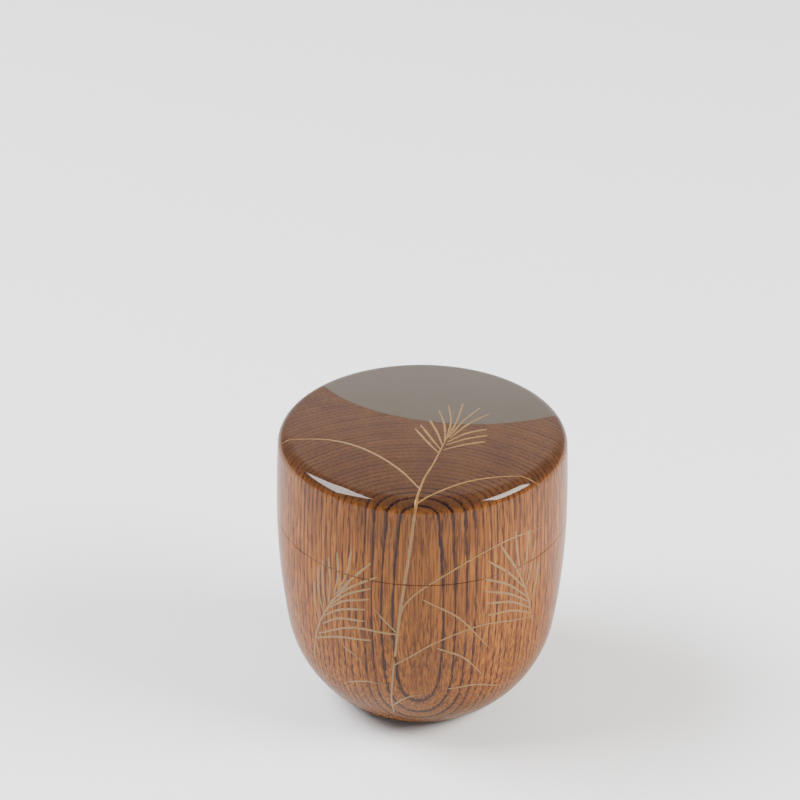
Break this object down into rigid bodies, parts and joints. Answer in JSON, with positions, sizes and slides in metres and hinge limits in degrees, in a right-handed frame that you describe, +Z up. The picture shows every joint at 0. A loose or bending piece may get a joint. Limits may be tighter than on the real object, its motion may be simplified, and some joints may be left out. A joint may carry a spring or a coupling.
{
  "type": "tea caddy",
  "caption": "Turned wooden natsume tea caddy with a flat base, a deep lift-off lid over a raised rim, and a metal-dusted moon and grass decoration.",
  "frame": {"origin": "middle of the foot, on the surface that the caddy stands on", "axes": "+Z up along the turning axis, through the lid; -Y towards the front, where the grass is drawn; +X to the right as seen from the front"},
  "size_m": [0.066, 0.0662, 0.0699],
  "materials": {
    "zelkova_wood": "orange-brown grain under clear gloss lacquer",
    "black_lacquer": "polished black lacquer",
    "silver_dust": "fine silver dust under polished lacquer",
    "gold_dust": "pale gold dust, satin"
  },
  "bodies": {
    "caddy": {"body_shell": "zelkova_wood", "body_lining": "black_lacquer", "moon_body": "silver_dust", "body_grass": "gold_dust"},
    "lid": {"lid_shell": "zelkova_wood", "lid_lining": "black_lacquer", "moon_lid": "silver_dust", "lid_grass": "gold_dust"}
  },
  "joints": [
    {"name": "lid_lift", "type": "slide", "parent": "caddy", "child": "lid", "axis": [0, 0, 1], "range_m": [0, 0.045]}
  ]
}
